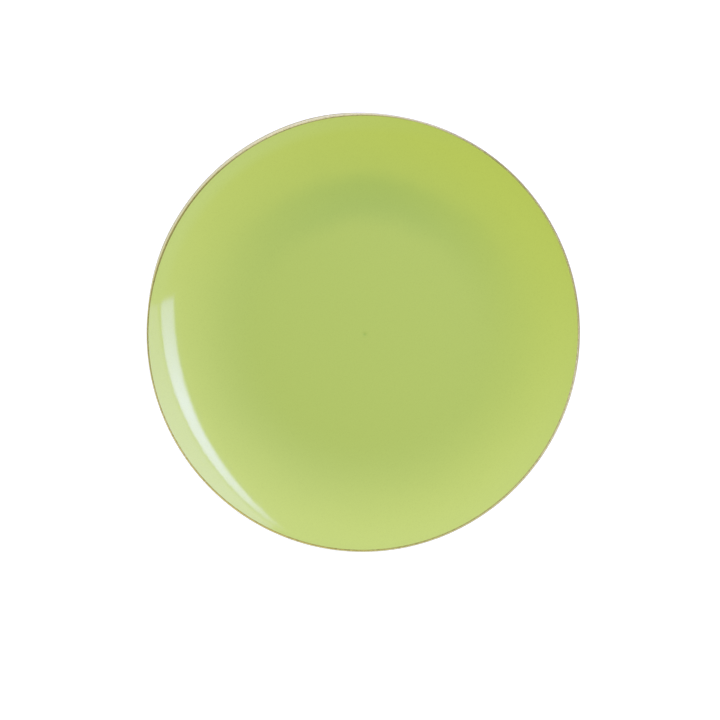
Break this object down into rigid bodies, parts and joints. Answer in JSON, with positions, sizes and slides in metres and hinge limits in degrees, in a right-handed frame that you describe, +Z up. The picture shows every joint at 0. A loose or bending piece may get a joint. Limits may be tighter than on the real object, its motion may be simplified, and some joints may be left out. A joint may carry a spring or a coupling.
{
  "type": "dinner plate",
  "caption": "Shallow rimless dinner plate: a flat well curves up smoothly to a thin gilded lip, with a coloured glossy face, a pale glazed back and a turned foot ring to stand on.",
  "frame": {"origin": "middle of the circle that the foot ring rests on, at the height of the table", "axes": "+Z up out of the face, along the axis that the plate is turned on; +X and +Y lie in the table plane and the plate is the same all round them"},
  "size_m": [0.271, 0.271, 0.0268],
  "materials": {
    "bare_porcelain": "fired, unglazed and matte",
    "green_glaze": "glossy apple-green glaze",
    "clear_glaze": "glossy clear glaze over ivory-white porcelain",
    "gilding": "thin fired gold, satin, brushed on by hand"
  },
  "bodies": {
    "root": {"porcelain_body": "bare_porcelain", "green_face_glaze": "green_glaze", "white_back_glaze": "clear_glaze", "foot_recess_glaze": "clear_glaze", "gold_rim_line": "gilding", "gold_outer_hairline": "gilding"}
  },
  "joints": []
}
